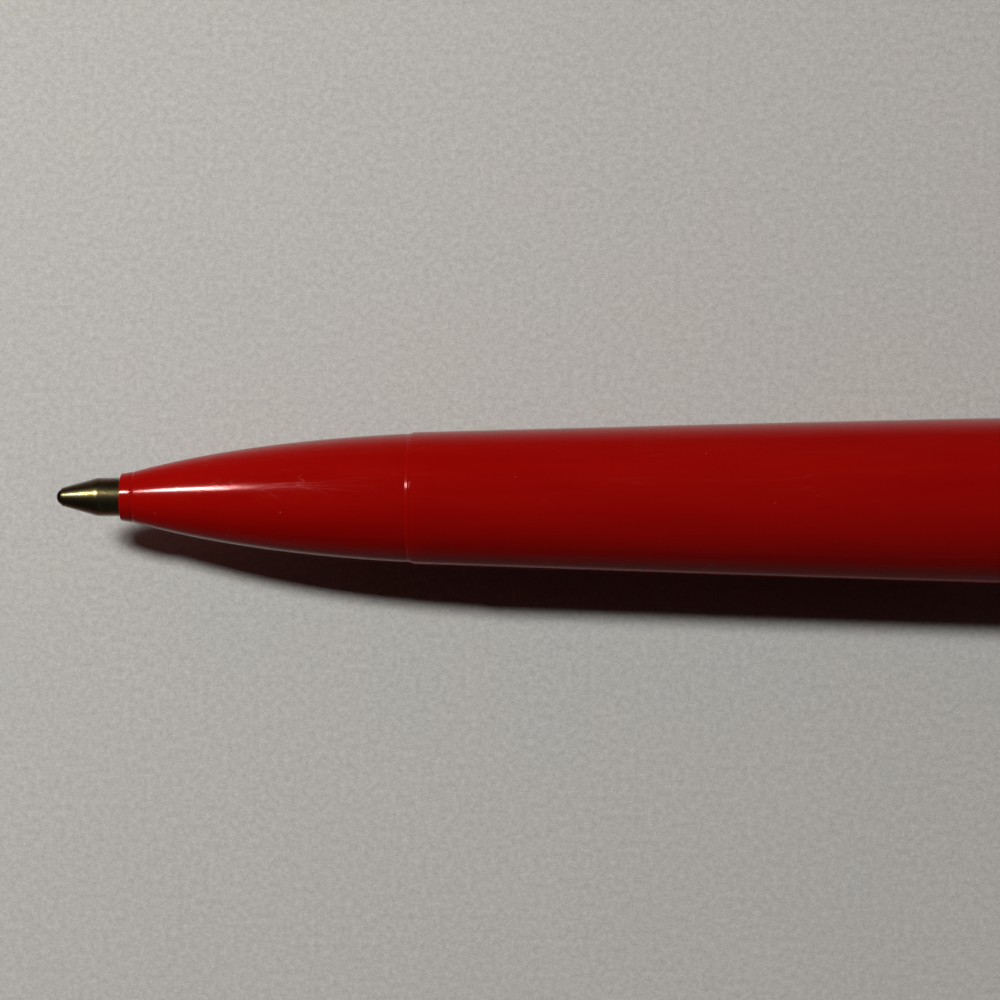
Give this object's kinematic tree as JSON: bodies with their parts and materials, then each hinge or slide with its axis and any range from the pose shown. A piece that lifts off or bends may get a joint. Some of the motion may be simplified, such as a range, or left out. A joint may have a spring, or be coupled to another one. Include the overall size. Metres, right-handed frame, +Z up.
{
  "type": "floaty pen",
  "caption": "Twist-action ballpoint pen with a tapered lower barrel, a clear oil-filled float chamber with a drifting cut-out boat, a domed cap and a sprung pocket clip.",
  "frame": {"origin": "on the table, under the middle of the pen's box", "axes": "+X along the pen from the writing point to the cap, +Z up; the pen lies on its centre ring, its cap and the edge of its clip, which points to -Y and down"},
  "size_m": [0.146, 0.0132, 0.0107],
  "materials": {
    "barrel_plastic": "glossy deep red",
    "mechanism_plastic": "satin grey acetal",
    "spring_steel": "bright drawn steel",
    "ball_metal": "dark polished, wet with ink",
    "point_brass": "turned, slightly tarnished",
    "refill_plastic": "milky, half clear",
    "ink": "wet dark blue",
    "seal_rubber": "matt black",
    "ring_chrome": "bright plated",
    "clip_chrome": "bright plated",
    "clear_acrylic": "water clear, polished",
    "plug_plastic": "plain white",
    "oil": "clear liquid",
    "backdrop_print": "printed sea and sky on film",
    "front_print": "clear film with a printed strip of waves",
    "floater_print": "printed film"
  },
  "bodies": {
    "upper_half": {"twist_cam": "barrel_plastic", "retaining_clip": "spring_steel", "drag_ring": "seal_rubber", "centre_ring": "ring_chrome", "clear_tube": "clear_acrylic", "lower_plug": "plug_plastic", "lower_seal": "seal_rubber", "upper_plug": "plug_plastic", "upper_seal": "seal_rubber", "oil_front": "oil", "oil_rear": "oil", "backdrop_film": "backdrop_print", "front_film": "front_print", "top_cap": "barrel_plastic"},
    "lower_half": {"lower_barrel": "barrel_plastic", "guide_sleeve": "mechanism_plastic", "return_spring": "spring_steel"},
    "nose": {"nose_cone": "barrel_plastic"},
    "refill": {"refill_point": "point_brass", "refill_tube": "refill_plastic", "ink_column": "ink", "pusher": "mechanism_plastic", "cross_pin": "spring_steel"},
    "ball": {"writing_ball": "ball_metal"},
    "float": {"floater": "floater_print"},
    "clip": {"pocket_clip": "clip_chrome"}
  },
  "joints": [
    {"name": "barrel_twist", "type": "hinge", "parent": "upper_half", "child": "lower_half", "pos_m": [-0.003, 0.00126, 0.00533], "axis": [1, 0, 0], "range_deg": [0, 180]},
    {"name": "refill_advance", "type": "slide", "parent": "lower_half", "child": "refill", "axis": [1, 0, 0], "range_m": [0, 0.005], "deforming": ["return_spring"]},
    {"name": "nose_cone_unscrew", "type": "slide", "parent": "lower_half", "child": "nose", "axis": [-1, 0, 0], "range_m": [0, 0.03]},
    {"name": "ball_roll", "type": "hinge", "parent": "refill", "child": "ball", "pos_m": [-0.0725, 0.00126, 0.00533], "axis": [0, 1, 0], "continuous": true},
    {"name": "float_travel", "type": "slide", "parent": "upper_half", "child": "float", "axis": [1, 0, 0], "range_m": [-0.0155, 0.0155]},
    {"name": "clip_flex", "type": "hinge", "parent": "upper_half", "child": "clip", "pos_m": [0.0644, -0.00261, 0.00335], "axis": [0, -0.4556, 0.8902], "range_deg": [0, 4], "stiffness_Nm_per_rad": 4}
  ],
  "couplings": [
    {"joint": "barrel_twist", "follows": "refill_advance", "rad_per_m": 628}
  ]
}
